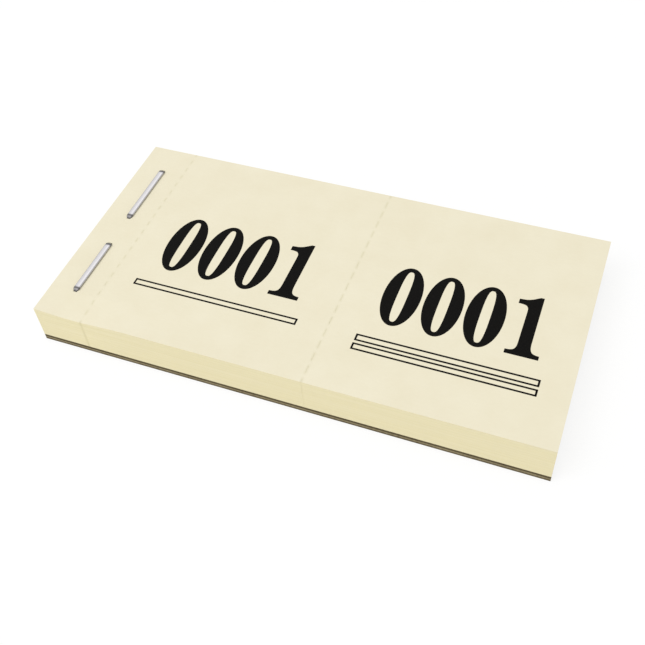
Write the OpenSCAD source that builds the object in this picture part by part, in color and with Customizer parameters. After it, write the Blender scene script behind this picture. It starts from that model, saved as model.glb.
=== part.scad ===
// Cloakroom ticket book: a pad of two-part numbered tickets, wire-stapled at the
// stub end through a greyboard backing. Millimetres.
// Origin: centre of the board's underside. +X runs from the bound stub towards the
// free end of the tickets, +Y away from the reader, +Z up.

/* [Leaf] */
// Length of the bound stub, from the stub end to the stub perforation
stub_length = 10.5; // [10:0.5:16]
// Length of the inner ticket, from the stub perforation to the centre perforation
inner_length = 47.25; // [30:0.25:70]
// Length of the outer ticket, from the centre perforation to the free end
outer_length = 47.25; // [30:0.25:70]
// Width of the pad, from the front edge to the back edge
pad_width = 53; // [50:1:80]
// Thickness of one sheet of paper
paper_thickness = 0.075; // [0.05:0.005:0.12]
// Air between neighbouring sheets
sheet_gap = 0.005; // [0.004:0.001:0.02]

/* [Stack] */
// Leaves on top of the pad that turn back one after the other
turning_leaves = 12; // [2:1:14]
// Closed blocks of leaves below them
block_count = 8; // [1:1:8]
// Leaves in each closed block
block_leaves = 11; // [2:1:12]

/* [Perforation] */
// Length of one slit of the stub perforation
stub_slit_length = 1; // [0.8:0.05:1.8]
// Wanted distance from one slit of the stub perforation to the next
stub_slit_spacing = 2.65; // [2.2:0.05:3.5]
// Length of one slit of the centre perforation
centre_slit_length = 1.75; // [1:0.05:2]
// Wanted distance from one slit of the centre perforation to the next
centre_slit_spacing = 3.1; // [2.5:0.05:3.5]
// Width of every slit, and so the reach of the ties of paper across it
slit_width = 0.5; // [0.3:0.05:0.7]

/* [Board] */
// Thickness of the greyboard backing
board_thickness = 1.4; // [1.2:0.1:3]

/* [Staples] */
// Width of the flat wire
wire_width = 1.35; // [0.9:0.05:1.6]
// Thickness of the flat wire
wire_thickness = 0.45; // [0.4:0.05:0.8]
// Length of the rear crown over the outsides of its legs
rear_crown_length = 16.6; // [13:0.2:18]
// Length of the front crown over the outsides of its legs
front_crown_length = 14.6; // [13:0.2:18]
// Inner radius of the wire's bends
bend_radius = 0.4; // [0.2:0.05:0.6]
// Length of each clinched leg under the board, from the outside of the leg
clinch_length = 5.4; // [3:0.2:6]
// Depth of the clinched legs inside the board's underside
clinch_depth = 0.05; // [0.02:0.01:0.1]
// Distance of the staples' centre line from the stub end
staple_inset = 5.75; // [4:0.25:8]
// Distance of the rear crown from the pad's back edge
rear_margin = 7.2; // [3:0.1:8.5]
// Distance of the front crown from the pad's front edge
front_margin = 6.7; // [3:0.1:8.5]
// Clearance round the wire in the paper and the board
wire_clearance = 0.05; // [0.02:0.01:0.15]

/* [Hidden] */
$fn = 48;
paper_colour = "#F0E9CF";
board_colour = "#8C8371";
wire_colour = "#C9C8D0";

pad_length = stub_length + inner_length + outer_length;
stub_end_x = -pad_length / 2;
stub_perf_x = stub_end_x + stub_length;
centre_perf_x = stub_perf_x + inner_length;
free_end_x = centre_perf_x + outer_length;
staple_x = stub_end_x + staple_inset;
rear_staple_y = pad_width / 2 - rear_margin - rear_crown_length / 2;
front_staple_y = front_margin + front_crown_length / 2 - pad_width / 2;

leaf_count = turning_leaves + block_count * block_leaves;
leaf_pitch = paper_thickness + sheet_gap;
pad_top = board_thickness + leaf_count * leaf_pitch;

stub_perforation = [stub_perf_x, stub_slit_length, stub_slit_spacing];
centre_perforation = [centre_perf_x, centre_slit_length, centre_slit_spacing];

rear_crown = [rear_staple_y, rear_crown_length];
front_crown = [front_staple_y, front_crown_length];
crowns = [rear_crown, front_crown];

bend_line = bend_radius + wire_thickness / 2;
crown_z = pad_top + wire_thickness / 2;
clinch_z = clinch_depth + wire_thickness / 2;

// Names of the pieces, with the leaves counted from the top of the pad
function two_digits(n) = n < 10 ? str("0", n) : str(n);
function leaf_name(leaf, piece) = str("leaf_", two_digits(leaf), "_", piece);
function first_leaf(block) = turning_leaves + block * block_leaves + 1;
function last_leaf(block) = first_leaf(block) + block_leaves - 1;
function block_name(block) = str("leaves_", first_leaf(block), "_to_", last_leaf(block));

// A crown's middle across the pad, its length, and its legs' distance from that middle
function middle_y(crown) = crown[0];
function crown_length(crown) = crown[1];
function leg_y(crown) = crown_length(crown) / 2 - wire_thickness / 2;

// Height of a leaf's underside, and how far a bent shoulder reaches inside its leg at the leaf's top
function leaf_z(leaf) = pad_top - leaf * leaf_pitch + sheet_gap;
function leaf_top(leaf) = leaf_z(leaf) + paper_thickness;
function over_bend(leaf) = min(bend_radius, max(0, leaf_top(leaf) - crown_z + bend_line));
function shoulder_reach(leaf) = bend_radius - sqrt(bend_radius ^ 2 - over_bend(leaf) ^ 2);

// A perforation's place along the leaf, its slits and the ties of paper between them. The first
// and the last slit have their middles on the pad's edges
function place(perforation) = perforation[0];
function slit_length(perforation) = perforation[1];
function slit_count(perforation) = round(pad_width / perforation[2]);
function slit_pitch(perforation) = pad_width / slit_count(perforation);
function slit_y(perforation, slit) = slit * slit_pitch(perforation) - pad_width / 2;
function tie_length(perforation) = slit_pitch(perforation) - slit_length(perforation);
function every_slit(perforation) = [0 : slit_count(perforation)];
function edge_slits(perforation) = [0, slit_count(perforation)];
function shown_slits(perforation, leaf) =
    leaf == first_leaf(0) ? every_slit(perforation) : edge_slits(perforation);

// Cross-section of the flat wire: a straight middle with round edges
module wire_section(grow) {
    flat_width = wire_width - wire_thickness;
    square([flat_width, wire_thickness + 2 * grow], center = true);
    for (side = [-1, 1])
        translate([side * flat_width / 2, 0])
            circle(d = wire_thickness + 2 * grow);
}

// Quarter bend of the wire about the X axis, from straight down round to +Y
module wire_bend(grow) {
    rotate([0, 90, 0])
        rotate_extrude(angle = 90)
            translate([bend_line, 0])
                rotate(90)
                    wire_section(grow);
}

// One leg below its shoulder, with its clinch bend and its clinched tip, grown all
// round by the clearance where it makes its own way through the board
module wire_leg(crown, grow) {
    translate([0, leg_y(crown), clinch_z + bend_line])
        linear_extrude(crown_z - clinch_z - 2 * bend_line)
            wire_section(grow);
    translate([0, leg_y(crown) - bend_line, clinch_z + bend_line])
        wire_bend(grow);
    translate([0, leg_y(crown) - bend_line, clinch_z])
        rotate([90, 0, 0])
            linear_extrude(clinch_length - bend_line - wire_thickness / 2 + grow)
                wire_section(grow);
}

// Draws the same thing at both ends of a staple
module both_ends() {
    for (side = [0, 1])
        mirror([0, side, 0])
            children();
}

// Whole staple: the crown, its two shoulders and the legs
module staple(crown) {
    translate([0, 0, crown_z])
        rotate([90, 0, 0])
            linear_extrude(2 * (leg_y(crown) - bend_line), center = true)
                wire_section(0);
    both_ends() {
        translate([0, leg_y(crown) - bend_line, crown_z - bend_line])
            mirror([0, 0, 1])
                wire_bend(0);
        wire_leg(crown, 0);
    }
}

// Way of a staple through the board, open underneath where the legs are clinched
module staple_way(crown) {
    way_width = wire_width + 2 * wire_clearance;
    way_length = clinch_length + 2 * wire_clearance;
    both_ends() {
        wire_leg(crown, wire_clearance);
        translate([-way_width / 2, crown_length(crown) / 2 + wire_clearance - way_length, -board_thickness])
            cube([way_width, way_length, board_thickness + clinch_z]);
    }
}

// Moves what belongs to a staple to its place in the pad
module at_crown(crown) {
    translate([staple_x, middle_y(crown), 0])
        children();
}

// Holes that the four legs pierce in a leaf, longer where the shoulders press into the top leaves
module leg_holes(leaf) {
    hole_width = wire_width + 2 * wire_clearance;
    hole_length = wire_thickness + 2 * wire_clearance + shoulder_reach(leaf);
    for (crown = crowns)
        at_crown(crown)
            both_ends()
                translate([-hole_width / 2, crown_length(crown) / 2 + wire_clearance - hole_length])
                    square([hole_width, hole_length]);
}

// Strip of paper over the pad's width, between two places along the leaf
module strip(from_x, to_x) {
    translate([from_x, -pad_width / 2])
        square([to_x - from_x, pad_width]);
}

// Slits along a perforation by their numbers, the first and the last open at the pad's edges
module slits(perforation, numbers) {
    for (slit = numbers)
        translate([place(perforation), slit_y(perforation, slit) - slit_length(perforation) / 2])
            square([slit_width, slit_length(perforation)]);
}

// Ties of paper that are left between the slits
module ties(perforation) {
    for (slit = [0 : slit_count(perforation) - 1])
        translate([place(perforation), slit_y(perforation, slit) + slit_length(perforation) / 2])
            square([slit_width, tie_length(perforation)]);
}

// Lays a flat shape down as a sheet at a leaf's height in the pad
module sheet(leaf) {
    translate([0, 0, leaf_z(leaf)])
        linear_extrude(paper_thickness)
            children();
}

module backing_board() {
    color(board_colour)
        difference() {
            linear_extrude(board_thickness)
                strip(stub_end_x, free_end_x);
            for (crown = crowns)
                at_crown(crown)
                    staple_way(crown);
        }
}

module rear_staple() {
    color(wire_colour)
        at_crown(rear_crown)
            staple(rear_crown);
}

module front_staple() {
    color(wire_colour)
        at_crown(front_crown)
            staple(front_crown);
}

module leaf_stub(leaf) {
    color(paper_colour)
        sheet(leaf)
            difference() {
                strip(stub_end_x, stub_perf_x);
                leg_holes(leaf);
            }
}

// Ties of the top leaf, which bend when a ticket is folded and part when it is torn off
module leaf_ties(leaf, perforation) {
    color(paper_colour)
        sheet(leaf)
            ties(perforation);
}

// Ticket of one leaf, with its own ties on its stub side, or torn off along them
module ticket(leaf, perforation, end_x) {
    color(paper_colour)
        sheet(leaf)
            if (leaf == 1)
                strip(place(perforation) + slit_width, end_x);
            else
                difference() {
                    strip(place(perforation), end_x);
                    slits(perforation, every_slit(perforation));
                }
}

module inner_ticket(leaf) {
    ticket(leaf, stub_perforation, centre_perf_x);
}

module outer_ticket(leaf) {
    ticket(leaf, centre_perforation, free_end_x);
}

// Closed leaves of the pad, each one whole from the stub end to the free end. The uppermost
// shows its perforations, and the others show only where the slits meet the pad's edges
module leaf_block(block) {
    color(paper_colour)
        for (leaf = [first_leaf(block) : last_leaf(block)])
            sheet(leaf)
                difference() {
                    strip(stub_end_x, free_end_x);
                    leg_holes(leaf);
                    for (perforation = [stub_perforation, centre_perforation])
                        slits(perforation, shown_slits(perforation, leaf));
                }
}

backing_board();
rear_staple();
front_staple();
for (leaf = [1 : turning_leaves]) {
    leaf_stub(leaf);
    inner_ticket(leaf);
    outer_ticket(leaf);
}
leaf_ties(1, stub_perforation);
leaf_ties(1, centre_perforation);
for (block = [0 : block_count - 1])
    leaf_block(block);
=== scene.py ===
"""Looks of a cloakroom ticket book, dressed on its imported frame.

Metres, in the frame's own axes: +X from the bound stub to the free end, +Y away from the reader,
+Z up. Lengths are written as millimetres times MM. Leaves are counted from the top of the pad.
"""

import math
from collections import namedtuple

import bpy
import numpy as np
from mathutils import Matrix, Vector
from mathutils.geometry import tessellate_polygon


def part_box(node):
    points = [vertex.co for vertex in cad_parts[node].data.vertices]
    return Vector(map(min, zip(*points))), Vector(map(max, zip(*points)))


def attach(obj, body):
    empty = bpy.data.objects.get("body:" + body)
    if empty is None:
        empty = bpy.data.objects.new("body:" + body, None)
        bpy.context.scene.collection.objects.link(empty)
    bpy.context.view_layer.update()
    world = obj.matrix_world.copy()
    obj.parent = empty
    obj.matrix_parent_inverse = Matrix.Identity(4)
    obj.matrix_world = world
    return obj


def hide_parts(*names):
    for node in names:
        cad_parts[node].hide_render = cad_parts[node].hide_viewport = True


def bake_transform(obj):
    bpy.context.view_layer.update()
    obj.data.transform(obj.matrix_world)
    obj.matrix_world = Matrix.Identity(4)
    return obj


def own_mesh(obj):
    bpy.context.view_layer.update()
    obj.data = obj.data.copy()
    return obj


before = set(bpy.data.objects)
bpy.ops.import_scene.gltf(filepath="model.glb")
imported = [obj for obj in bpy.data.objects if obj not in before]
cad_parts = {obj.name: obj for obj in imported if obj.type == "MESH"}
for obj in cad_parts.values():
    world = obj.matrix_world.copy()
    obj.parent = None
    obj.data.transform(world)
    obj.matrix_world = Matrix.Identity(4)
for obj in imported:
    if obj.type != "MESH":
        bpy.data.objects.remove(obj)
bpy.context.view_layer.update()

MM = 0.001
rng = np.random.default_rng(1901)

# Places read from the frame
STUB_LOW, STUB_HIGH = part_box("leaf_01_stub")
INNER_LOW, INNER_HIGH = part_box("leaf_01_inner_ticket")
OUTER_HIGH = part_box("leaf_01_outer_ticket")[1]
SECOND_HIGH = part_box("leaf_02_stub")[1]
WIRE_LOW, WIRE_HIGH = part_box("front_staple")
STUB_END = STUB_LOW.x
STUB_PERF = STUB_HIGH.x
CENTRE_PERF = INNER_HIGH.x
FREE_END = OUTER_HIGH.x
FRONT = STUB_LOW.y
BACK = STUB_HIGH.y
PAD_TOP = STUB_HIGH.z
SHEET = STUB_HIGH.z - STUB_LOW.z
LEAF_PITCH = STUB_HIGH.z - SECOND_HIGH.z
TIE_REACH = INNER_LOW.x - STUB_PERF
FOLD_LINE = CENTRE_PERF + TIE_REACH / 2
BOARD_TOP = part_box("backing_board")[1].z

# Leaves
TURNING_LEAVES = 12
BLOCK_LEAVES = 11
BLOCKS = 8
COLUMN_STEP = 3.0 * MM
CREASE_REACH = 1.1 * MM
CREASE_COLUMNS = 11
TRIM_SPREAD = 0.015 * MM
CURL_HEIGHT = 0.06 * MM
CURL_DECAY = 0.4
CURL_BACK_SHARE = 0.5
DROOP_DEPTH = 0.48 * MM
DROOP_HALF_LENGTH = 12.0 * MM
DROOP_CENTRE = STUB_PERF - 1.5 * MM
GRID_TOLERANCE = 0.001 * MM
SHARP_ANGLE = math.radians(35.0)

# Perforations: place along the leaf, spaces from slit to slit, length of a slit, and depth of the painted
# shade for the pressed groove on the leaf and on its cut edge
Perforation = namedtuple("Perforation", ("place", "spaces", "slit_length", "crush", "edge_crush"))
PERFORATIONS = (
    Perforation(STUB_PERF, 20, 1.0 * MM, 0.47, 0.45),
    Perforation(CENTRE_PERF, 17, 1.75 * MM, 0.53, 0.0),
)
SLIT_OPENING = 0.02 * MM
# How far the painted groove shade runs past a slit's ends, how soon it fades out, and how far it reaches to
# both sides
CRUSH_SHADE_PAST_SLIT = 0.5 * MM
CRUSH_SHADE_RUN_OUT = 0.7 * MM
CRUSH_SHADE_REACH = 0.45 * MM
TIE_COLUMNS = 13
TIE_CLEARANCE = 0.002 * MM
ROW_DECIMALS = 5

# Print on the two tickets. A hollow bar is its left, low, right and high edges in millimetres
INNER = 0
OUTER = 1
NUMBER_LEFT = (-34.86 * MM, 12.94 * MM)
NUMBER_BASE = -8.22 * MM
DIGIT_STEP = 8.32 * MM
INK_FILM = 0.003 * MM
INK_BITE = 0.0005 * MM
BAR_LINE = 0.4 * MM
BARS = (
    ((-36.41, -14.16, -0.65, -12.5),),
    ((11.36, -14.08, 46.62, -12.37), (11.36, -16.28, 46.62, -14.62)),
)

# Staples
WIRE_WIDTH = WIRE_HIGH.x - WIRE_LOW.x
WIRE_THICKNESS = WIRE_HIGH.z - PAD_TOP
WIRE_BEND = 0.4 * MM
CLINCH_LENGTH = 5.4 * MM
HOLE_CLEARANCE = 0.05 * MM
HOLE_LENGTH = WIRE_THICKNESS + WIRE_BEND + 2 * HOLE_CLEARANCE
SHOULDER_WIDTH = 0.6
HOLE_INSET = WIRE_WIDTH * (1.0 - SHOULDER_WIDTH) / 2 - HOLE_CLEARANCE
DROOP_REACH = WIRE_LOW.y - HOLE_CLEARANCE - FRONT


# Meshes

def new_piece(name, points, faces, materials, face_slots=None, smooth_below=None, **attributes):
    """A mesh object at the origin. Extra named arrays become point attributes: one value or three each."""
    mesh = bpy.data.meshes.new(name)
    mesh.from_pydata(np.asarray(points).tolist(), [], [list(face) for face in faces])
    for material in materials:
        mesh.materials.append(material)
    if face_slots is not None:
        mesh.polygons.foreach_set("material_index", np.asarray(face_slots, np.int32))
    for key, values in attributes.items():
        kind = "FLOAT_VECTOR" if np.ndim(values) == 2 else "FLOAT"
        field = "vector" if np.ndim(values) == 2 else "value"
        made = mesh.attributes.new(key, kind, "POINT")
        made.data.foreach_set(field, np.asarray(values, np.float32).ravel())
    if smooth_below is not None:
        mesh.polygons.foreach_set("use_smooth", np.ones(len(mesh.polygons), bool))
        mesh.set_sharp_from_angle(angle=smooth_below)
    mesh.update()
    piece = bpy.data.objects.new(name, mesh)
    bpy.context.scene.collection.objects.link(piece)
    return piece


def sheet_grid(columns, rows, kept, top):
    """A sheet of paper with openings, as points, quads and quad kinds (0 face, 1 cut edge).

    The sheet is a grid over columns (x) and rows (y) with its upper side at top(x, y) and its
    underside one paper thickness below. Cells that aren't kept are left open, and a wall closes
    every border between a kept cell and an open one.
    """
    x, y = np.meshgrid(columns, rows, indexing="ij")
    z = top(x, y)
    upper = np.stack([x, y, z], -1).reshape(-1, 3)
    lower = upper - (0.0, 0.0, SHEET)
    count = len(upper)
    place = np.arange(count).reshape(len(columns), len(rows))
    a, b = place[:-1, :-1], place[1:, :-1]
    c, d = place[1:, 1:], place[:-1, 1:]
    edge = np.pad(kept, 1)
    here = edge[1:-1, 1:-1]
    quads = [np.stack([a, b, c, d], -1)[here], np.stack([d, c, b, a], -1)[here] + count]
    borders = (
        (a, d, ~edge[:-2, 1:-1]),
        (c, b, ~edge[2:, 1:-1]),
        (b, a, ~edge[1:-1, :-2]),
        (d, c, ~edge[1:-1, 2:]),
    )
    for start, end, opened in borders:
        wall = np.stack([start, end, end + count, start + count], -1)
        quads.append(wall[here & opened])
    kinds = np.repeat((0, 0, 1, 1, 1, 1), [len(q) for q in quads])
    faces = np.concatenate(quads)
    used, renumbered = np.unique(faces, return_inverse=True)
    return np.concatenate([upper, lower])[used], renumbered.reshape(faces.shape), kinds


def joined(parts):
    """Several (points, faces, kinds) as one, with the faces renumbered."""
    starts = np.cumsum([0] + [len(points) for points, faces, kinds in parts])
    points = np.concatenate([part[0] for part in parts])
    faces = [face for part, start in zip(parts, starts) for face in np.asarray(part[1]) + start]
    kinds = np.concatenate([part[2] for part in parts])
    return points, faces, kinds


# Paper

def leaf_top(leaf):
    """Height of a leaf's upper side in the pad, by its number from the top."""
    return PAD_TOP - (leaf - 1) * LEAF_PITCH


def curl(leaf, x, y):
    """Lift of a leaf's free end: a parabola from the centre perforation, highest at the front corner.

    Each leaf below lifts by a fixed share of the one above it, so that they fan a little at the corner.
    """
    along = np.clip((x - CENTRE_PERF) / (FREE_END - CENTRE_PERF), 0.0, 1.0)
    towards_front = (BACK - y) / (BACK - FRONT)
    share = CURL_BACK_SHARE + (1.0 - CURL_BACK_SHARE) * towards_front
    return CURL_HEIGHT * CURL_DECAY ** (leaf - 1) * along**2 * share


def droop(leaf, x, y):
    """Sag of the front edge beside the staples: a cosine hump along x, fading straight to the front staple.

    A leaf sags in proportion to its height above the board, so the leaves only close up.
    """
    along = np.clip(np.abs(x - DROOP_CENTRE) / DROOP_HALF_LENGTH, 0.0, 1.0)
    across = np.clip(1.0 - (y - FRONT) / DROOP_REACH, 0.0, 1.0)
    height = (leaf_top(leaf) - BOARD_TOP) / (PAD_TOP - BOARD_TOP)
    return DROOP_DEPTH * height * across * (1.0 + np.cos(math.pi * along)) / 2.0


def leaf_surface(leaf):
    """The upper side of a leaf as a function of x and y."""
    return lambda x, y: leaf_top(leaf) + curl(leaf, x, y) - droop(leaf, x, y)


def steps(start, end):
    """Grid edges from start to end at about the column step."""
    return np.linspace(start, end, max(2, int(round((end - start) / COLUMN_STEP)) + 1))


def slit_ends(perforation):
    """The ends of a perforation's slits across the pad. The first and last run out at the pad's edges."""
    centres = np.linspace(FRONT, BACK, perforation.spaces + 1)
    ends = np.stack([centres - perforation.slit_length / 2, centres + perforation.slit_length / 2], -1)
    return np.round(np.clip(ends, FRONT, BACK), ROW_DECIMALS)


def hole_boxes():
    """(low x, low y, high x, high y) of the four leg holes, as wide as the drawn-in shoulders."""
    boxes = []
    for node in ("rear_staple", "front_staple"):
        low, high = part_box(node)
        left = low.x + HOLE_INSET
        right = high.x - HOLE_INSET
        boxes.append((left, high.y + HOLE_CLEARANCE - HOLE_LENGTH, right, high.y + HOLE_CLEARANCE))
        boxes.append((left, low.y - HOLE_CLEARANCE, right, low.y - HOLE_CLEARANCE + HOLE_LENGTH))
    return np.array(boxes)


def crush_shade_of(x, y, depth):
    """How dark the painted shade of the perforating rules' pressed groove is. Depth names the field that
    says how deep.

    The mark is deepest along the middle of a slit and falls straight to 0 at its reach to both sides
    and over a run that ends a little past the slit's ends.
    """
    mark = np.zeros(len(x))
    for perforation in PERFORATIONS:
        pitch = (BACK - FRONT) / perforation.spaces
        from_slit = np.abs((y - FRONT + pitch / 2) % pitch - pitch / 2)
        mark_end = perforation.slit_length / 2 + CRUSH_SHADE_PAST_SLIT
        along = np.clip((mark_end - from_slit) / CRUSH_SHADE_RUN_OUT, 0.0, 1.0)
        aside = np.abs(x - perforation.place - TIE_REACH / 2)
        across = np.clip(1.0 - aside / CRUSH_SHADE_REACH, 0.0, 1.0)
        mark = np.maximum(mark, getattr(perforation, depth) * along * across)
    return mark


ALL_SLITS = [slit_ends(perforation) for perforation in PERFORATIONS]
EDGE_SLITS = [slits[[0, -1]] for slits in ALL_SLITS]
HOLES = hole_boxes()
SLIT_LEFT = TIE_REACH / 2 - SLIT_OPENING / 2
SLIT_RIGHT = TIE_REACH / 2 + SLIT_OPENING / 2


def within(values, spans):
    """True where a value lies inside one of the (low, high) spans."""
    return ((values[:, None] > spans[:, 0]) & (values[:, None] < spans[:, 1])).any(1)


def middles(edges):
    """The places half way between neighbouring grid edges."""
    return (edges[:-1] + edges[1:]) / 2


def leaf_rows(slit_sets):
    """Grid edges across the pad: its edges, the leg holes, the slits' ends and the marks' run-outs."""
    edges = [[FRONT, BACK], HOLES[:, 1], HOLES[:, 3]]
    for slits in slit_sets:
        edges.append(slits.ravel())
        for past_slit in (CRUSH_SHADE_PAST_SLIT, CRUSH_SHADE_PAST_SLIT - CRUSH_SHADE_RUN_OUT):
            edges += [slits[1:, 0] - past_slit, slits[:-1, 1] + past_slit]
    return np.unique(np.round(np.concatenate(edges), ROW_DECIMALS))


def leaf_cells(columns, rows, slit_sets, parted=False):
    """Which cells of a leaf's grid are paper: not a leg hole, not inside a slit's opening.

    Where the leaf is parted at its perforations, the ties' own cells are left out as well.
    """
    x = middles(columns)
    y = middles(rows)
    kept = np.ones((len(x), len(y)), bool)
    for low_x, low_y, high_x, high_y in HOLES:
        kept &= ~np.outer((x > low_x) & (x < high_x), (y > low_y) & (y < high_y))
    for perforation, slits in zip(PERFORATIONS, slit_sets):
        in_slit = within(y, slits)
        opening = (x > perforation.place + SLIT_LEFT) & (x < perforation.place + SLIT_RIGHT)
        kept &= ~np.outer(opening, in_slit)
        if parted:
            tied = (x > perforation.place) & (x < perforation.place + TIE_REACH)
            kept &= ~np.outer(tied, ~in_slit)
    return kept


def perforation_columns(place):
    """Grid edges across one perforation: the strip of painted groove shade, the ties' two ends and the
    slits' two lips.
    """
    middle = TIE_REACH / 2
    reach = (middle - CRUSH_SHADE_REACH, 0.0, SLIT_LEFT, SLIT_RIGHT, TIE_REACH, middle + CRUSH_SHADE_REACH)
    return place + np.array(reach)


STUB_COLUMNS = np.unique(np.concatenate([steps(STUB_END, STUB_PERF), HOLES[:1, 0], HOLES[:1, 2]]))
CREASE_STEPS = STUB_PERF + np.linspace(0.0, CREASE_REACH, CREASE_COLUMNS)
LEAF_COLUMNS = np.unique(
    np.concatenate(
        [
            STUB_COLUMNS,
            perforation_columns(STUB_PERF),
            steps(STUB_PERF + CREASE_REACH, CENTRE_PERF),
            perforation_columns(CENTRE_PERF),
            steps(CENTRE_PERF + TIE_REACH, FREE_END),
        ]
    )
)
LEAF_ROWS = leaf_rows(ALL_SLITS)
LEAF_TONES = rng.random(TURNING_LEAVES + BLOCKS * BLOCK_LEAVES + 1)
LEAF_SHIFT = np.array((17.3, 29.1, 0.0)) * MM


def paper_piece(name, parts, leaves):
    """One piece of paper from one or more sheets, with what its material reads.

    rest_place is where the point lies in the flat leaf, moved on from leaf to leaf so that no two
    sheets show the same clouds. leaf_tone is one random number for each sheet, and the two groove marks are
    painted shade along the perforating rules' pressed grooves, on the leaf and on its cut edge, which the
    leaf's shape doesn't have.
    """
    points, faces, kinds = joined(parts)
    numbers = np.repeat(leaves, [len(part[0]) for part in parts])
    piece = new_piece(
        name,
        points,
        faces,
        [PAPER, PAPER_EDGE],
        kinds,
        SHARP_ANGLE,
        rest_place=points + numbers[:, None] * LEAF_SHIFT,
        leaf_tone=LEAF_TONES[numbers],
        crush=crush_shade_of(points[:, 0], points[:, 1], "crush"),
        edge_crush=crush_shade_of(points[:, 0], points[:, 1], "edge_crush"),
    )
    return piece


def part_of_top_leaf(low_x, high_x):
    """The stretch of the top leaf between two places, parted from the rest at the perforations."""
    inside = (LEAF_COLUMNS > low_x - GRID_TOLERANCE) & (LEAF_COLUMNS < high_x + GRID_TOLERANCE)
    columns = LEAF_COLUMNS[inside]
    kept = leaf_cells(columns, LEAF_ROWS, ALL_SLITS, parted=True)
    return sheet_grid(columns, LEAF_ROWS, kept, leaf_surface(1))


def ties_of_top_leaf(perforation):
    """The ties between the slits of one perforation, on a fine grid.

    A tie keeps a hair of clearance all round from the slits' lips beside it.
    """
    columns = perforation.place + np.linspace(TIE_CLEARANCE, TIE_REACH - TIE_CLEARANCE, TIE_COLUMNS)
    slits = slit_ends(perforation)
    tied = ~within(middles(LEAF_ROWS), slits)
    kept = np.outer(np.ones(TIE_COLUMNS - 1, bool), tied)
    away_from_slit = np.isin(LEAF_ROWS, slits[:, 1]).astype(float) - np.isin(LEAF_ROWS, slits[:, 0])
    rows = LEAF_ROWS + TIE_CLEARANCE * away_from_slit
    return sheet_grid(columns, rows, kept, leaf_surface(1))


def top_leaf():
    """The uppermost leaf in the five pieces that its joints part: stub, ties, ticket, ties, ticket."""
    stub = part_of_top_leaf(STUB_END, STUB_PERF + SLIT_LEFT)
    inner = part_of_top_leaf(STUB_PERF + SLIT_RIGHT, CENTRE_PERF + SLIT_LEFT)
    outer = part_of_top_leaf(CENTRE_PERF + SLIT_RIGHT, FREE_END)
    pieces = {}
    for name, part, body in (
        ("leaf_01_stub", stub, "pad"),
        ("leaf_01_inner_ticket", inner, "top_inner_ticket"),
        ("leaf_01_outer_ticket", outer, "top_outer_ticket"),
    ):
        pieces[name] = paper_piece(name + "_paper", [part], [1])
        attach(pieces[name], body)
        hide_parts(name)
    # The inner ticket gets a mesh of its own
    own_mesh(pieces["leaf_01_inner_ticket"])
    for perforation, name, before, after, crease in (
        (PERFORATIONS[0], "leaf_01_stub_ties", "pad", "top_stub_ties", STUB_PERF),
        (PERFORATIONS[1], "leaf_01_centre_ties", "top_centre_ties", "top_outer_ticket", FOLD_LINE),
    ):
        piece = paper_piece(name + "_paper", [ties_of_top_leaf(perforation)], [1])
        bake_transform(piece)
        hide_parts(name)


def turning_leaf(leaf):
    """One of the leaves under the top one: a whole sheet, with extra columns along its stub perforation."""
    columns = np.unique(np.concatenate([LEAF_COLUMNS, CREASE_STEPS]))
    kept = leaf_cells(columns, LEAF_ROWS, ALL_SLITS)
    sheet = sheet_grid(columns, LEAF_ROWS, kept, leaf_surface(leaf))
    piece = paper_piece(f"leaf_{leaf:02d}_paper", [sheet], [leaf])
    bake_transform(piece)
    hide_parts(*(f"leaf_{leaf:02d}_{part}" for part in ("stub", "inner_ticket", "outer_ticket")))


def closed_block(block):
    """Eleven closed leaves, each trimmed a hair differently. Only the uppermost of all shows its slits."""
    first = TURNING_LEAVES + block * BLOCK_LEAVES + 1
    leaves = np.arange(first, first + BLOCK_LEAVES)
    parts = []
    for leaf in leaves:
        slit_sets = ALL_SLITS if leaf == TURNING_LEAVES + 1 else EDGE_SLITS
        columns = LEAF_COLUMNS.copy()
        rows = leaf_rows(slit_sets)
        kept = leaf_cells(columns, rows, slit_sets)
        trim = rng.random(4) * TRIM_SPREAD
        columns[[0, -1]] += (trim[0], -trim[1])
        rows[[0, -1]] += (trim[2], -trim[3])
        parts.append(sheet_grid(columns, rows, kept, leaf_surface(leaf)))
    name = f"leaves_{leaves[0]}_to_{leaves[-1]}"
    piece = paper_piece(name + "_paper", parts, leaves)
    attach(piece, "pad")
    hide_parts(name)


# Print. The numerals are drawn in millimetres from the lower left corner of a figure

DIGIT_WIDTH = 7.55
DIGIT_TOP = 15.35
DIGIT_DROP = 0.4
ROUND_POINTS = 96
STROKE_POINTS = 10
BALL_POINTS = 40
ELLIPSE_POWER = 2.0
ZERO_POWER = 2.04
COUNTER_POWER = 3.0
EIGHT_COUNTER_POWER = 2.4
ZERO_COUNTER_HALF = 1.0
ZERO_HAIRLINE = 1.1


def ring_of(centre, half, power, count=ROUND_POINTS):
    """A superellipse: each coordinate is its half size times cos or sin to the power 2 / power."""
    turn = np.linspace(0.0, 2.0 * math.pi, count, endpoint=False)
    way = np.stack([np.cos(turn), np.sin(turn)], -1)
    return np.array(centre) * MM + np.sign(way) * np.abs(way) ** (2.0 / power) * np.array(half) * MM


def ball(x, y, radius):
    """A round terminal of a numeral."""
    return [ring_of((x, y), (radius, radius), ELLIPSE_POWER, BALL_POINTS)]


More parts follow.
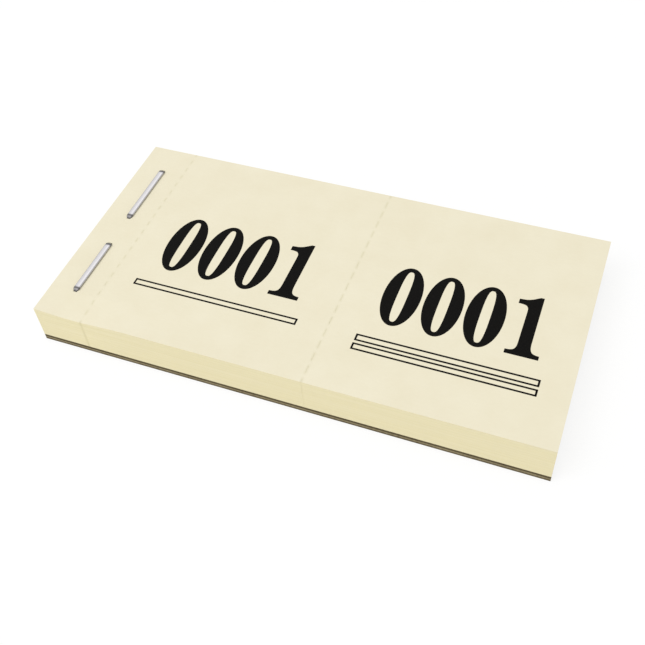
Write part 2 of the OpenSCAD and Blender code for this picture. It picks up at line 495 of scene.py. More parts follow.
def smooth_path(knots):
    """A Catmull-Rom curve through the knots: each span is a cubic of its two ends and their neighbours."""
    knots = np.array(knots)
    ends = np.concatenate([2 * knots[:1] - knots[1:2], knots, 2 * knots[-1:] - knots[-2:-1]])
    t = np.linspace(0.0, 1.0, STROKE_POINTS, endpoint=False)[None, :, None]
    p0, p1, p2, p3 = (ends[i : len(ends) - 3 + i, None] for i in range(4))
    bend = 2 * p0 - 5 * p1 + 4 * p2 - p3
    twist = 3 * p1 - p0 - 3 * p2 + p3
    path = (2 * p1 + (p2 - p0) * t + bend * t**2 + twist * t**3) / 2
    return np.concatenate([path.reshape(-1, knots.shape[1]), knots[-1:]])


def pen(*knots):
    """A swelling pen stroke: a smooth path of (x, y, width) with half the width set off to both sides."""
    path = smooth_path(knots) * MM
    way = np.gradient(path[:, :2], axis=0)
    way /= np.linalg.norm(way, axis=1, keepdims=True)
    side = np.stack([-way[:, 1], way[:, 0]], -1) * path[:, 2:] / 2
    return [np.concatenate([path[:, :2] + side, (path[:, :2] - side)[::-1]])]


def slab(*corners):
    """A straight-sided part of a numeral."""
    return [np.array(corners) * MM]


def zero():
    """Outer ellipse with a tall, straight-sided counter."""
    half = (DIGIT_TOP + DIGIT_DROP) / 2
    centre = (DIGIT_WIDTH / 2, (DIGIT_TOP - DIGIT_DROP) / 2)
    outer = ring_of(centre, (DIGIT_WIDTH / 2, half), ZERO_POWER)
    counter = ring_of(centre, (ZERO_COUNTER_HALF, half - ZERO_HAIRLINE), COUNTER_POWER)
    return [[outer, counter]]


def one():
    """A stem on a bracketed foot, with a flag that sweeps down to a cut end at the left."""
    flag = smooth_path([(4.55, 15.35), (4.0, 15.0), (3.1, 14.45), (2.1, 14.1), (0.68, 13.95)])
    under_flag = smooth_path([(0.68, 12.8), (1.7, 12.72), (2.35, 12.5), (2.72, 11.9), (2.79, 11.1)])
    left_foot = smooth_path([(2.79, 3.2), (2.72, 2.2), (2.4, 1.45), (1.8, 1.1), (0.8, 0.98)])
    right_foot = smooth_path([(7.25, 0.98), (6.35, 1.1), (5.75, 1.45), (5.42, 2.2), (5.3, 3.2)])
    foot = np.array([(0.8, 0.0), (7.25, 0.0)])
    shoulder = np.array([(5.25, 15.35)])
    return [[np.concatenate([flag, under_flag, left_foot, foot, right_foot, shoulder]) * MM]]


def two():
    """A swelling hook that starts in a ball and runs down to a flared foot."""
    return [
        pen((0.8, 11.7, 0.9), (1.4, 14.0, 0.9), (3.5, 14.9, 0.95), (5.5, 13.7, 2.2), (6.05, 11.4, 2.7),
            (5.2, 8.4, 2.3), (3.2, 5.2, 1.6), (1.5, 2.9, 1.2), (0.8, 1.2, 1.0)),
        ball(1.65, 11.6, 1.3),
        slab((0.35, 0.0), (6.9, 0.0), (7.3, 4.2), (6.6, 4.2), (6.1, 2.4), (0.9, 2.1)),
    ]


def three():
    """Two bowls that meet in the middle and end in balls."""
    return [
        pen((0.8, 12.3, 0.9), (1.5, 14.2, 0.9), (3.4, 14.9, 0.95), (5.2, 13.7, 2.2), (5.7, 11.6, 2.6),
            (4.9, 9.3, 1.9), (2.9, 8.2, 0.95)),
        pen((2.9, 8.2, 0.95), (5.2, 7.2, 1.9), (6.1, 4.4, 2.7), (5.3, 1.5, 2.2), (3.3, 0.1, 0.95),
            (1.4, 0.8, 0.9), (0.75, 2.8, 0.9)),
        ball(1.65, 12.2, 1.25),
        ball(1.65, 3.0, 1.3),
    ]


def four():
    """A stem on a foot, with a crossbar and a slanting stroke."""
    return [
        slab((4.0, 0.9), (6.5, 0.9), (6.5, 15.35), (4.9, 15.35), (4.0, 13.3)),
        slab((2.9, 0.0), (7.4, 0.0), (7.4, 1.0), (2.9, 1.0)),
        slab((0.2, 3.9), (7.5, 3.9), (7.5, 4.95), (0.2, 4.95)),
        slab((0.25, 4.8), (1.25, 4.8), (5.6, 15.3), (4.92, 15.3)),
    ]


def five():
    """A flag on a thin stem, over a bowl that ends in a ball."""
    return [
        slab((1.0, 15.35), (1.0, 13.0), (6.2, 13.0), (6.9, 15.35)),
        slab((1.0, 13.1), (1.0, 7.9), (1.8, 8.3), (1.8, 13.1)),
        pen((1.2, 7.9, 0.9), (2.6, 9.3, 0.95), (4.5, 9.2, 1.7), (6.0, 6.7, 2.6), (5.9, 3.2, 2.6),
            (4.6, 0.7, 1.5), (2.8, 0.05, 0.9), (1.3, 0.9, 0.9), (0.8, 2.7, 0.9)),
        ball(1.65, 2.9, 1.25),
    ]


def six():
    """An ellipse with a tall counter, and a stroke that rises from it and ends in a ball."""
    bowl = ring_of((3.8, 4.6), (3.75, 5.0), ELLIPSE_POWER)
    counter = ring_of((3.8, 4.6), (1.15, 3.95), COUNTER_POWER)
    return [
        [bowl, counter],
        pen((1.5, 4.6, 2.6), (1.55, 8.0, 2.6), (2.1, 12.0, 2.3), (3.4, 14.4, 1.2), (4.9, 14.85, 0.9),
            (6.3, 13.4, 0.9)),
        ball(5.7, 12.6, 1.2),
    ]


def seven():
    """A flag over a slanting stem that swells towards its foot."""
    return [
        slab((0.6, 15.35), (0.4, 11.2), (1.1, 11.2), (1.7, 13.0), (7.1, 13.0), (7.1, 15.35)),
        pen((6.7, 13.6, 1.0), (5.3, 9.6, 1.7), (4.0, 5.0, 2.6), (3.6, 0.0, 3.0)),
    ]


def eight():
    """Two ellipses, the smaller one above, each with its counter."""
    shapes = []
    for centre, half, counter_half in (
        ((3.75, 11.4), (3.05, 3.95), (1.0, 2.9)),
        ((3.75, 4.0), (3.65, 4.4), (1.2, 3.4)),
    ):
        bowl = ring_of(centre, half, ELLIPSE_POWER)
        shapes.append([bowl, ring_of(centre, counter_half, EIGHT_COUNTER_POWER)])
    return shapes


def nine():
    """A six turned half way round."""
    turn = np.array((DIGIT_WIDTH, DIGIT_TOP - DIGIT_DROP)) * MM
    return [[turn - outline for outline in shape] for shape in six()]


DIGITS = (zero, one, two, three, four, five, six, seven, eight, nine)


def film(shape, surface):
    """A thin film of ink over outlines on a leaf: the outer outline first, then its counters.

    The filled upper side lies one film above the paper, the underside bites a little into it, and a
    wall runs round each outline. Outer outlines run anticlockwise and counters clockwise.
    """
    loops = []
    for number, outline in enumerate(shape):
        following = np.roll(outline, -1, axis=0)
        area = np.sum(outline[:, 0] * following[:, 1] - outline[:, 1] * following[:, 0])
        wanted = 1.0 if number == 0 else -1.0
        loops.append(outline if area * wanted > 0 else outline[::-1])
    flat = np.concatenate(loops)
    count = len(flat)
    triangles = np.array(tessellate_polygon([[Vector((*p, 0.0)) for p in loop / MM] for loop in loops]))
    a, b, c = (flat[triangles[:, i]] for i in range(3))
    turned = np.cross(b - a, c - a) < 0
    triangles[turned] = triangles[turned][:, ::-1]
    height = surface(flat[:, 0], flat[:, 1])
    upper = np.column_stack([flat, height + INK_FILM])
    lower = np.column_stack([flat, height - INK_BITE])
    faces = triangles.tolist() + (triangles[:, ::-1] + count).tolist()
    start = 0
    for loop in loops:
        here = np.arange(start, start + len(loop))
        after = np.roll(here, -1)
        faces += np.stack([here + count, after + count, after, here], -1).tolist()
        start += len(loop)
    return np.concatenate([upper, lower]), faces


def bar_outline(left, low, right, high):
    """A hollow bar: a thin line round an empty strip."""
    outer = np.array([(left, low), (right, low), (right, high), (left, high)]) * MM
    inset = np.array([(1, 1), (-1, 1), (-1, -1), (1, -1)]) * BAR_LINE
    return [outer, outer + inset]


def ticket_print(name, leaf, sides, body):
    """The number and the hollow bars on one or both tickets of a leaf, as one piece of ink."""
    shapes = []
    for side in sides:
        for place, digit in enumerate(f"{leaf:04d}"):
            corner = np.array((NUMBER_LEFT[side] + place * DIGIT_STEP, NUMBER_BASE))
            shapes += [[outline + corner for outline in shape] for shape in DIGITS[int(digit)]()]
        shapes += [bar_outline(*bar) for bar in BARS[side]]
    points, faces = [], []
    for shape in shapes:
        film_points, film_faces = film(shape, leaf_surface(leaf))
        start = sum(len(p) for p in points)
        points.append(film_points)
        faces += [[corner + start for corner in face] for face in film_faces]
    piece = new_piece(name, np.concatenate(points), faces, [INK])
    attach(piece, body)


# Staples

SECTION_POINTS = 40
BEND_POINTS = 14
CROWN_POINTS = 40
STRAIGHT_POINTS = 8
# The wire's shoulders are painted dark: a painted dark reflection at the bends, fading over this run onto
# the crown
BEND_SHADE_RUN = 0.35 * MM
BEND_SHADE_MIDDLE = 0.8


def wire_section():
    """The flat wire's outline: a straight middle with half-round edges, as offsets across and through it."""
    turn = np.linspace(0.0, 2.0 * math.pi, SECTION_POINTS, endpoint=False)
    flat = (WIRE_WIDTH - WIRE_THICKNESS) / 2
    across = np.sign(np.cos(turn)) * flat + np.cos(turn) * WIRE_THICKNESS / 2
    through = np.sin(turn) * WIRE_THICKNESS / 2
    return across, through


def arc(centre, radius, start, end):
    """Points of a round bend between two angles in degrees: the centre plus the radius times cos and sin."""
    turn = np.radians(np.linspace(start, end, BEND_POINTS))
    return np.array(centre) + radius * np.stack([np.cos(turn), np.sin(turn)], -1)


def line(start, end, count):
    """Evenly spaced points between two ends, without the ends."""
    share = np.linspace(0.0, 1.0, count)[1:-1, None]
    return np.array(start) + share * (np.array(end) - np.array(start))


def staple(node):
    """A piece of flat wire carried along its bent path: clinch, leg, crown, leg, clinch.

    Half of the path runs from the middle of the crown through a quarter bend, the leg and a second
    quarter bend to the clinched tip. The other half is its mirror. Each section point is the path's
    point plus its offset across the wire (x) and through it (the path's normal). The bending draws the
    wire in at its shoulders, where its width falls as a quarter ellipse does.
    """
    low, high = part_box(node)
    middle_y = (low.y + high.y) / 2
    half = (high.y - low.y) / 2
    radius = WIRE_BEND + WIRE_THICKNESS / 2
    leg = half - WIRE_THICKNESS / 2
    turn = leg - radius
    crown = high.z - WIRE_THICKNESS / 2
    foot = low.z + WIRE_THICKNESS / 2
    tip = (half - CLINCH_LENGTH, foot)
    halfway = np.concatenate(
        [
            line((-turn, crown), (turn, crown), CROWN_POINTS)[CROWN_POINTS // 2 - 1 :],
            arc((turn, crown - radius), radius, 90.0, 0.0),
            line((leg, crown - radius), (leg, foot + radius), STRAIGHT_POINTS),
            arc((turn, foot + radius), radius, 0.0, -90.0),
            line((turn, foot), tip, STRAIGHT_POINTS),
            [tip],
        ]
    )
    path = np.concatenate([halfway[::-1] * (-1.0, 1.0), halfway])
    way = np.gradient(path, axis=0)
    way /= np.linalg.norm(way, axis=1, keepdims=True)
    normal = np.stack([-way[:, 1], way[:, 0]], -1)
    across, through = wire_section()
    shoulder = np.clip((np.abs(path[:, 0]) - turn) / radius, 0.0, 1.0)
    width = np.sqrt(1.0 - (1.0 - SHOULDER_WIDTH**2) * shoulder**2)
    x = (low.x + high.x) / 2 + width[:, None] * across
    yz = path[:, None] + normal[:, None] * through[:, None]
    points = np.concatenate([x[..., None], yz], -1).reshape(-1, 3) + (0.0, middle_y, 0.0)
    place = np.arange(len(points)).reshape(len(path), SECTION_POINTS)
    ahead = np.roll(place, -1, axis=1)
    quads = np.stack([place[:-1], place[1:], ahead[1:], ahead[:-1]], -1).reshape(-1, 4)
    faces = quads.tolist() + [place[0].tolist(), place[-1, ::-1].tolist()]
    # Painted dark reflection: full at both ends of a bend, lighter at its middle, fading onto the crown;
    # legs and clinches are dark throughout
    from_bend = np.abs(np.abs(path[:, 0]) - turn) / BEND_SHADE_RUN
    bent = BEND_SHADE_MIDDLE + (1.0 - BEND_SHADE_MIDDLE) * np.abs(np.cos(math.pi * shoulder))
    worn = np.where(np.abs(path[:, 0]) > turn, bent, np.clip(1.0 - from_bend, 0.0, 1.0))
    # Marks the wire's rounded sides, which the material paints greyer as painted shade
    rounded = np.clip((np.abs(across) * 2 - WIRE_WIDTH + WIRE_THICKNESS) / WIRE_THICKNESS, 0.0, 1.0)
    piece = new_piece(
        node + "_wire",
        points,
        faces,
        [WIRE],
        smooth_below=SHARP_ANGLE,
        rounded=np.tile(rounded, len(path)),
        worn=np.repeat(worn, SECTION_POINTS),
    )
    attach(piece, "pad")
    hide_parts(node)


# Materials

# A Mix node's sockets go by number, because those for numbers and for colours share their names
MIX_FACTOR, MIX_A, MIX_B, MIX_RESULT = 0, 6, 7, 2
MIX_PLAIN_A, MIX_PLAIN_B = 2, 3
FEW_OCTAVES = 2.0
SOME_OCTAVES = 3.0
MANY_OCTAVES = 4.0


def linear(code):
    """An sRGB hex colour as linear red, green, blue and 1."""
    values = np.array([int(code[i : i + 2], 16) for i in (1, 3, 5)]) / 255
    low = values / 12.92
    high = ((values + 0.055) / 1.055) ** 2.4
    return (*np.where(values <= 0.04045, low, high), 1.0)


def fill(tree, node, sockets):
    """Fills a node's sockets: another node's output is linked, and any other value is the socket's own."""
    for key, value in sockets.items():
        if isinstance(value, bpy.types.NodeSocket):
            tree.links.new(value, node.inputs[key])
        else:
            node.inputs[key].default_value = value


def add(tree, kind, sockets=None, output=0, **settings):
    """Adds a node with its settings, fills its sockets and gives one of its outputs."""
    node = tree.nodes.new(kind)
    for key, value in settings.items():
        setattr(node, key, value)
    fill(tree, node, sockets or {})
    return node.outputs[output]


def new_material(name):
    """A node material with only a Principled shader and its output. Returns material, tree and shader."""
    material = bpy.data.materials.new(name)
    material.use_nodes = True
    tree = material.node_tree
    shader = tree.nodes["Principled BSDF"]
    return material, tree, shader


PAPER_CLOUD = 7.0 * MM
PAPER_FIBRE = 0.5 * MM
PAPER_FIBRE_RUN = (0.4, 1.0, 1.0)
PAPER_FIBRE_SHARE = 0.25
PAPER_TONE_LOW = 0.3
PAPER_TONE_HIGH = 0.7
PAPER_TOOTH = 0.03 * MM
PAPER_TOOTH_STRENGTH = 0.25
PAPER_ROUGHNESS = 0.88
PAPER_SPECULAR = 0.25
THIN_PAPER = "#EEE6CB"
THICK_PAPER = "#F2EBD2"
# Painted shade for the pressed groove along the slits, which the leaf's surface doesn't have
CRUSH_SHADE_PAPER = "#E1DAB8"


def ticket_paper():
    """Uncoated cream printing paper, machine-made: matt, with soft clouds where the fibres lie thicker
    and a fine fibrous tooth. The tooth is drawn at 0.5 mm, coarser than real fibres, so that it shows."""
    material, tree, shader = new_material("uncoated_cream_paper")
    place = add(tree, "ShaderNodeAttribute", output="Vector", attribute_name="rest_place")
    crush = add(tree, "ShaderNodeAttribute", output="Fac", attribute_name="crush")
    cloud = add(
        tree,
        "ShaderNodeTexNoise",
        {"Vector": place, "Scale": 1 / PAPER_CLOUD, "Detail": SOME_OCTAVES},
    )
    run = add(tree, "ShaderNodeMapping", {"Vector": place, "Scale": PAPER_FIBRE_RUN})
    fibre = add(
        tree,
        "ShaderNodeTexNoise",
        {"Vector": run, "Scale": 1 / PAPER_FIBRE, "Detail": FEW_OCTAVES},
    )
    lay = add(
        tree,
        "ShaderNodeMix",
        {MIX_FACTOR: PAPER_FIBRE_SHARE, MIX_PLAIN_A: cloud, MIX_PLAIN_B: fibre},
    )
    tone = add(
        tree,
        "ShaderNodeMapRange",
        {"Value": lay, "From Min": PAPER_TONE_LOW, "From Max": PAPER_TONE_HIGH},
    )
    sheet = add(
        tree,
        "ShaderNodeMix",
        {MIX_FACTOR: tone, MIX_A: linear(THIN_PAPER), MIX_B: linear(THICK_PAPER)},
        MIX_RESULT,
        data_type="RGBA",
    )
    # Painted shade: the paper darkens along the perforations in place of the pressed groove's shading
    colour = add(
        tree,
        "ShaderNodeMix",
        {MIX_FACTOR: crush, MIX_A: sheet, MIX_B: linear(CRUSH_SHADE_PAPER)},
        MIX_RESULT,
        data_type="RGBA",
    )
    bump = add(
        tree,
        "ShaderNodeBump",
        {"Height": fibre, "Strength": PAPER_TOOTH_STRENGTH, "Distance": PAPER_TOOTH},
    )
    fill(tree, shader, {"Base Color": colour, "Normal": bump})
    fill(tree, shader, {"Roughness": PAPER_ROUGHNESS, "Specular IOR Level": PAPER_SPECULAR})
    return material


EDGE_BUNDLE = 0.3 * MM
EDGE_BUNDLE_RUN = (0.012, 0.012, 1.0)
EDGE_LEAF_SHARE = 0.3
EDGE_SHADE_LOW = 0.35
EDGE_SHADE_HIGH = 0.95
EDGE_GRAIN = 0.4 * MM
EDGE_TOOTH = 0.03 * MM
EDGE_TOOTH_STRENGTH = 0.2
EDGE_ROUGHNESS = 0.92
EDGE_SPECULAR = 0.15
DEEP_EDGE = "#EBE1B6"
PALE_EDGE = "#F1E8C4"
# Painted shade for the notch that the stub's slits leave in the cut edge
CRUSH_SHADE_EDGE = "#D5CCA2"


def paper_edge():
    """The same paper cut through by a guillotine: open fibre ends, deeper in colour than the flat sheet,
    each leaf a little off its neighbours in tone, with a faint line of painted shade down the pile where the
    stub's slits run out.
    Bundles of leaves are drawn about 0.3 mm high, because single leaves are finer than the picture."""
    material, tree, shader = new_material("guillotined_paper_edge")
    place = add(tree, "ShaderNodeAttribute", output="Vector", attribute_name="rest_place")
    leaf = add(tree, "ShaderNodeAttribute", output="Fac", attribute_name="leaf_tone")
    crush = add(tree, "ShaderNodeAttribute", output="Fac", attribute_name="edge_crush")
    coords = add(tree, "ShaderNodeTexCoord", output="Object")
    run = add(tree, "ShaderNodeMapping", {"Vector": coords, "Scale": EDGE_BUNDLE_RUN})
    bundle = add(
        tree,
        "ShaderNodeTexNoise",
        {"Vector": run, "Scale": 1 / EDGE_BUNDLE, "Detail": SOME_OCTAVES},
    )
    grain = add(
        tree,
        "ShaderNodeTexNoise",
        {"Vector": place, "Scale": 1 / EDGE_GRAIN, "Detail": FEW_OCTAVES},
    )
    shade = add(tree, "ShaderNodeMath", {0: leaf, 1: EDGE_LEAF_SHARE, 2: bundle}, operation="MULTIPLY_ADD")
    tone = add(
        tree,
        "ShaderNodeMapRange",
        {"Value": shade, "From Min": EDGE_SHADE_LOW, "From Max": EDGE_SHADE_HIGH},
    )
    cut = add(
        tree,
        "ShaderNodeMix",
        {MIX_FACTOR: tone, MIX_A: linear(DEEP_EDGE), MIX_B: linear(PALE_EDGE)},
        MIX_RESULT,
        data_type="RGBA",
    )
    # Painted shade: the cut edge darkens where the stub's slits run out, in place of the notch's shade
    colour = add(
        tree,
        "ShaderNodeMix",
        {MIX_FACTOR: crush, MIX_A: cut, MIX_B: linear(CRUSH_SHADE_EDGE)},
        MIX_RESULT,
        data_type="RGBA",
    )
    bump = add(
        tree,
        "ShaderNodeBump",
        {"Height": grain, "Strength": EDGE_TOOTH_STRENGTH, "Distance": EDGE_TOOTH},
    )
    fill(tree, shader, {"Base Color": colour, "Normal": bump})
    fill(tree, shader, {"Roughness": EDGE_ROUGHNESS, "Specular IOR Level": EDGE_SPECULAR})
    return material


INK_SPECK = 0.35 * MM
INK_SPECK_LOW = 0.45
INK_SPECK_HIGH = 0.8
INK_DENSE_ROUGHNESS = 0.55
INK_THIN_ROUGHNESS = 0.8
INK_SPECULAR = 0.06
DENSE_INK = "#0B0A09"
THIN_INK = "#171613"


def printing_ink():
    """Black oil ink from raised type: dense, hardly glossy, a little thinner where the paper is rough."""
    material, tree, shader = new_material("black_letterpress_ink")
    coords = add(tree, "ShaderNodeTexCoord", output="Object")
    speck = add(
        tree,
        "ShaderNodeTexNoise",
        {"Vector": coords, "Scale": 1 / INK_SPECK, "Detail": SOME_OCTAVES},
    )
    tone = add(
        tree,
        "ShaderNodeMapRange",
        {"Value": speck, "From Min": INK_SPECK_LOW, "From Max": INK_SPECK_HIGH},
    )
    colour = add(
        tree,
        "ShaderNodeMix",
        {MIX_FACTOR: tone, MIX_A: linear(DENSE_INK), MIX_B: linear(THIN_INK)},
        MIX_RESULT,
        data_type="RGBA",
    )
    rough = add(
        tree,
        "ShaderNodeMapRange",
        {"Value": speck, "To Min": INK_DENSE_ROUGHNESS, "To Max": INK_THIN_ROUGHNESS},
    )
    fill(tree, shader, {"Base Color": colour, "Roughness": rough, "Specular IOR Level": INK_SPECULAR})
    return material


WIRE_LINE = 0.12 * MM
WIRE_LINE_RUN = (1.0, 0.06, 0.3)
WIRE_TOOTH = 0.02 * MM
WIRE_TOOTH_STRENGTH = 0.15
WIRE_SIDE_START = 0.02
WIRE_SIDE_END = 0.25
WIRE_SMOOTH_ROUGHNESS = 0.24
WIRE_DRAWN_ROUGHNESS = 0.46
WIRE_BEND_ROUGHNESS = 0.65
WIRE_METALLIC = 1.0
DRAWN_ZINC = "#E4E2E5"
BRIGHT_ZINC = "#F5F3F6"
# Painted shade on the wire's rounded sides
SIDE_SHADE_ZINC = "#B4B2B2"
# Painted dark reflection on the shoulders
BEND_SHADE_ZINC = "#6C6A6B"


def stitching_wire():
    """Galvanised flat wire: bright zinc with fine drawing lines along it, greyer on its rounded sides as
    painted shade, and dark and dull on its shoulders as a painted dark reflection of the surroundings at the
    bends."""
    material, tree, shader = new_material("galvanised_flat_wire")
    rounded = add(tree, "ShaderNodeAttribute", output="Fac", attribute_name="rounded")
    worn = add(tree, "ShaderNodeAttribute", output="Fac", attribute_name="worn")
    coords = add(tree, "ShaderNodeTexCoord", output="Object")
    run = add(tree, "ShaderNodeMapping", {"Vector": coords, "Scale": WIRE_LINE_RUN})
    lines = add(
        tree,
        "ShaderNodeTexNoise",
        {"Vector": run, "Scale": 1 / WIRE_LINE, "Detail": SOME_OCTAVES},
    )
    side = add(
        tree,
        "ShaderNodeMapRange",
        {"Value": rounded, "From Min": WIRE_SIDE_START, "From Max": WIRE_SIDE_END},
    )
    bright = add(
        tree,
        "ShaderNodeMix",
        {MIX_FACTOR: lines, MIX_A: linear(DRAWN_ZINC), MIX_B: linear(BRIGHT_ZINC)},
        MIX_RESULT,
        data_type="RGBA",
    )
    # Painted shade: greyer on the rounded sides
    sides_shaded = add(
        tree,
        "ShaderNodeMix",
        {MIX_FACTOR: side, MIX_A: bright, MIX_B: linear(SIDE_SHADE_ZINC)},
        MIX_RESULT,
        data_type="RGBA",
    )
    colour = add(
        tree,
        "ShaderNodeMix",
        {MIX_FACTOR: worn, MIX_A: sides_shaded, MIX_B: linear(BEND_SHADE_ZINC)},
        MIX_RESULT,
        data_type="RGBA",
    )
    drawn = add(
        tree,
        "ShaderNodeMapRange",
        {"Value": lines, "To Min": WIRE_SMOOTH_ROUGHNESS, "To Max": WIRE_DRAWN_ROUGHNESS},
    )
    rough = add(
        tree,
        "ShaderNodeMix",
        {MIX_FACTOR: worn, MIX_PLAIN_A: drawn, MIX_PLAIN_B: WIRE_BEND_ROUGHNESS},
    )
    bump = add(
        tree,
        "ShaderNodeBump",
        {"Height": lines, "Strength": WIRE_TOOTH_STRENGTH, "Distance": WIRE_TOOTH},
    )
    fill(tree, shader, {"Base Color": colour, "Normal": bump, "Roughness": rough, "Metallic": WIRE_METALLIC})
    return material


BOARD_FLECK = 0.6 * MM
BOARD_CLOUD = 6.0 * MM
BOARD_CLOUD_SHARE = 0.35
BOARD_TONE_LOW = 0.34
BOARD_TONE_HIGH = 0.66
BOARD_TOOTH = 0.05 * MM
BOARD_TOOTH_STRENGTH = 0.4
BOARD_ROUGHNESS = 0.95
BOARD_SPECULAR = 0.15
DARK_PULP = "#CFCBC2"
PALE_PULP = "#FFFFFF"
PLY_WAVER = 0.12 * MM
BOARD_PLIES_AND_SHADOW_LINE = (
    (0.0, "#9A907A"),
    (0.08, "#9A907A"),
    (0.14, "#6A5F46"),
    (0.3, "#71664C"),
    (0.42, "#A0957A"),
    (0.62, "#978C70"),
    # The darkest band, at the top of the cut edge under the paper, is a painted shadow line; the other bands
    # are the board's layers
    (0.74, "#5C5139"),
    (0.95, "#544A34"),
    (1.0, "#8C826A"),
)


def greyboard():
    """Board pressed from mixed waste paper: brown-grey, flecked with light and dark fibre, with darker and
    lighter layers that show as lines along its cut edges, and a painted shadow line along the top of those
    edges."""
    material, tree, shader = new_material("waste_paper_greyboard")
    coords = add(tree, "ShaderNodeTexCoord", output="Object")
    fleck = add(
        tree,
        "ShaderNodeTexNoise",
        {"Vector": coords, "Scale": 1 / BOARD_FLECK, "Detail": MANY_OCTAVES},
    )
    cloud = add(
        tree,
        "ShaderNodeTexNoise",
        {"Vector": coords, "Scale": 1 / BOARD_CLOUD, "Detail": FEW_OCTAVES},
    )
    height = add(tree, "ShaderNodeSeparateXYZ", {0: coords}, "Z")
    waver = add(tree, "ShaderNodeMath", {0: fleck, 1: PLY_WAVER, 2: height}, operation="MULTIPLY_ADD")
    level = add(tree, "ShaderNodeMapRange", {"Value": waver, "From Max": BOARD_TOP})
    plies_and_shadow = add(tree, "ShaderNodeValToRGB", {0: level})
    stops = plies_and_shadow.node.color_ramp.elements
    stops.remove(stops[1])
    for place, code in BOARD_PLIES_AND_SHADOW_LINE:
        stop = stops.new(place)
        stop.color = linear(code)
    stops.remove(stops[0])
    pulp = add(
        tree,
        "ShaderNodeMix",
        {MIX_FACTOR: BOARD_CLOUD_SHARE, MIX_PLAIN_A: fleck, MIX_PLAIN_B: cloud},
    )
    tone = add(
        tree,
        "ShaderNodeMapRange",
        {"Value": pulp, "From Min": BOARD_TONE_LOW, "From Max": BOARD_TONE_HIGH},
    )
    tint = add(
        tree,
        "ShaderNodeMix",
        {MIX_FACTOR: tone, MIX_A: linear(DARK_PULP), MIX_B: linear(PALE_PULP)},
        MIX_RESULT,
        data_type="RGBA",
    )
    colour = add(
        tree,
        "ShaderNodeMix",
        {MIX_FACTOR: 1.0, MIX_A: plies_and_shadow, MIX_B: tint},
        MIX_RESULT,
        data_type="RGBA",
        blend_type="MULTIPLY",
    )
    bump = add(
        tree,
        "ShaderNodeBump",
        {"Height": fleck, "Strength": BOARD_TOOTH_STRENGTH, "Distance": BOARD_TOOTH},
    )
    fill(tree, shader, {"Base Color": colour, "Normal": bump})
    fill(tree, shader, {"Roughness": BOARD_ROUGHNESS, "Specular IOR Level": BOARD_SPECULAR})
    return material


PAPER = ticket_paper()
PAPER_EDGE = paper_edge()
INK = printing_ink()
WIRE = stitching_wire()
BOARD = greyboard()


# Camera, light and floor

CAMERA_AZIMUTH = math.radians(24.94)
CAMERA_ELEVATION = math.radians(49.57)
CAMERA_ROLL = math.radians(5.23)
CAMERA_DISTANCE = 188.7 * MM
CAMERA_TARGET = np.array((0.81, -4.61, 0.0)) * MM
CAMERA_LENS = 50.95
CAMERA_NEAR = 5.0 * MM
CAMERA_FAR = 20.0


def photo_camera():
    """The camera stands off its target along its azimuth and elevation, and is rolled about its view."""
    level = math.cos(CAMERA_ELEVATION)
    back = np.array(
        (math.sin(CAMERA_AZIMUTH) * level, -math.cos(CAMERA_AZIMUTH) * level, math.sin(CAMERA_ELEVATION))
    )
    right = np.cross(-back, (0.0, 0.0, 1.0))
    right /= np.linalg.norm(right)
    down = np.cross(-back, right)
    rolled_right = math.cos(CAMERA_ROLL) * right + math.sin(CAMERA_ROLL) * down
    rolled_up = math.sin(CAMERA_ROLL) * right - math.cos(CAMERA_ROLL) * down
    matrix = np.eye(4)
    matrix[:3, :3] = np.stack([rolled_right, rolled_up, back], -1)
    matrix[:3, 3] = CAMERA_TARGET + back * CAMERA_DISTANCE
    data = bpy.data.cameras.new("photo_camera")
    data.lens = CAMERA_LENS
    data.clip_start = CAMERA_NEAR
    data.clip_end = CAMERA_FAR
    camera = bpy.data.objects.new("photo_camera", data)
    camera.matrix_world = Matrix(matrix.tolist())
    bpy.context.scene.collection.objects.link(camera)
    bpy.context.scene.camera = camera


WHITE = "#FFFFFF"
SKY_STRENGTH = 0.62
SKY_SHOWN = 1.0
KEY_PLACE = np.array((-1.125, -1.375, 2.375))
KEY_SIZE = 1.75
KEY_POWER = 45.0
FLOOR_HALF = 3.0
FLOOR_DROP = 0.02 * MM
FLOOR_OWN_WHITE = 0.85
LIT_CARD = "#EDEDED"
SHADED_CARD = "#6F6F6F"


def shown_rays(tree):
    """1 for the rays that show a surface to the eye: straight from the camera, mirrored or through glass."""
    straight = add(tree, "ShaderNodeLightPath", output="Is Camera Ray")
    path = straight.node.outputs
    bent = add(
        tree,
        "ShaderNodeMath",
        {0: path["Is Glossy Ray"], 1: path["Is Transmission Ray"]},
        operation="MAXIMUM",
    )
    return add(tree, "ShaderNodeMath", {0: straight, 1: bent}, operation="MAXIMUM")


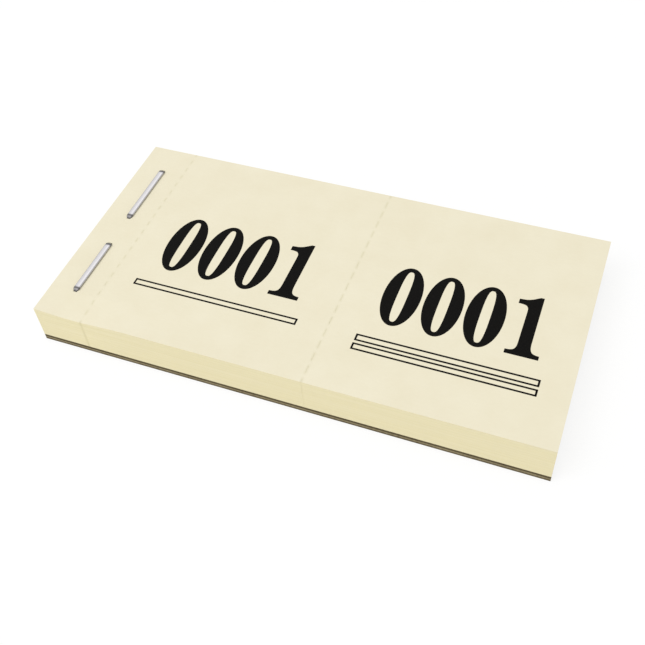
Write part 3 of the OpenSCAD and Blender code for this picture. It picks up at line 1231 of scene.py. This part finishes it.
def soft_light():
    """A pale sky all round, white to the eye and in the metal, and one large soft lamp at the front left."""
    world = bpy.data.worlds.new("studio")
    world.use_nodes = True
    tree = world.node_tree
    strength = add(
        tree,
        "ShaderNodeMapRange",
        {"Value": shown_rays(tree), "To Min": SKY_STRENGTH, "To Max": SKY_SHOWN},
    )
    fill(tree, tree.nodes["Background"], {"Color": linear(WHITE), "Strength": strength})
    bpy.context.scene.world = world
    data = bpy.data.lights.new("key", "AREA")
    data.shape = "SQUARE"
    data.size = KEY_SIZE
    data.energy = KEY_POWER
    key = bpy.data.objects.new("key", data)
    facing = Vector(-KEY_PLACE).to_track_quat("-Z", "Y").to_matrix().to_4x4()
    key.matrix_world = Matrix.Translation(KEY_PLACE) @ facing
    bpy.context.scene.collection.objects.link(key)


def white_floor():
    """A plain white card under the pad. To the eye most of its white is its own, so shadows stay faint."""
    corners = np.array([(-1, -1, 0), (1, -1, 0), (1, 1, 0), (-1, 1, 0)]) * FLOOR_HALF
    material, tree, shader = new_material("white_card")
    tree.nodes.remove(shader)
    lit = add(tree, "ShaderNodeBsdfDiffuse", {"Color": linear(LIT_CARD)})
    shaded = add(tree, "ShaderNodeBsdfDiffuse", {"Color": linear(SHADED_CARD)})
    own = add(tree, "ShaderNodeEmission", {"Color": linear(WHITE), "Strength": FLOOR_OWN_WHITE})
    both = add(tree, "ShaderNodeAddShader", {0: shaded, 1: own})
    choice = add(tree, "ShaderNodeMixShader", {0: shown_rays(tree), 1: lit, 2: both})
    fill(tree, tree.nodes["Material Output"], {"Surface": choice})
    floor = new_piece("floor", corners - (0.0, 0.0, FLOOR_DROP), [(0, 1, 2, 3)], [material])


def dress():
    """Makes every piece, then the stage."""
    top_leaf()
    for leaf in range(2, TURNING_LEAVES + 1):
        turning_leaf(leaf)
        ticket_print(f"leaf_{leaf:02d}_print", leaf, (INNER, OUTER), f"leaf_{leaf:02d}_tickets")
    for block in range(BLOCKS):
        closed_block(block)
    ticket_print("leaf_01_inner_print", 1, (INNER,), "top_inner_ticket")
    ticket_print("leaf_01_outer_print", 1, (OUTER,), "top_outer_ticket")
    ticket_print(f"leaf_{TURNING_LEAVES + 1}_print", TURNING_LEAVES + 1, (INNER, OUTER), "pad")
    staple("rear_staple")
    staple("front_staple")
    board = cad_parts["backing_board"]
    board.data.materials.clear()
    board.data.materials.append(BOARD)
    photo_camera()
    soft_light()
    white_floor()
    bpy.context.scene.view_settings.view_transform = "Standard"


dress()

bpy.context.view_layer.update()
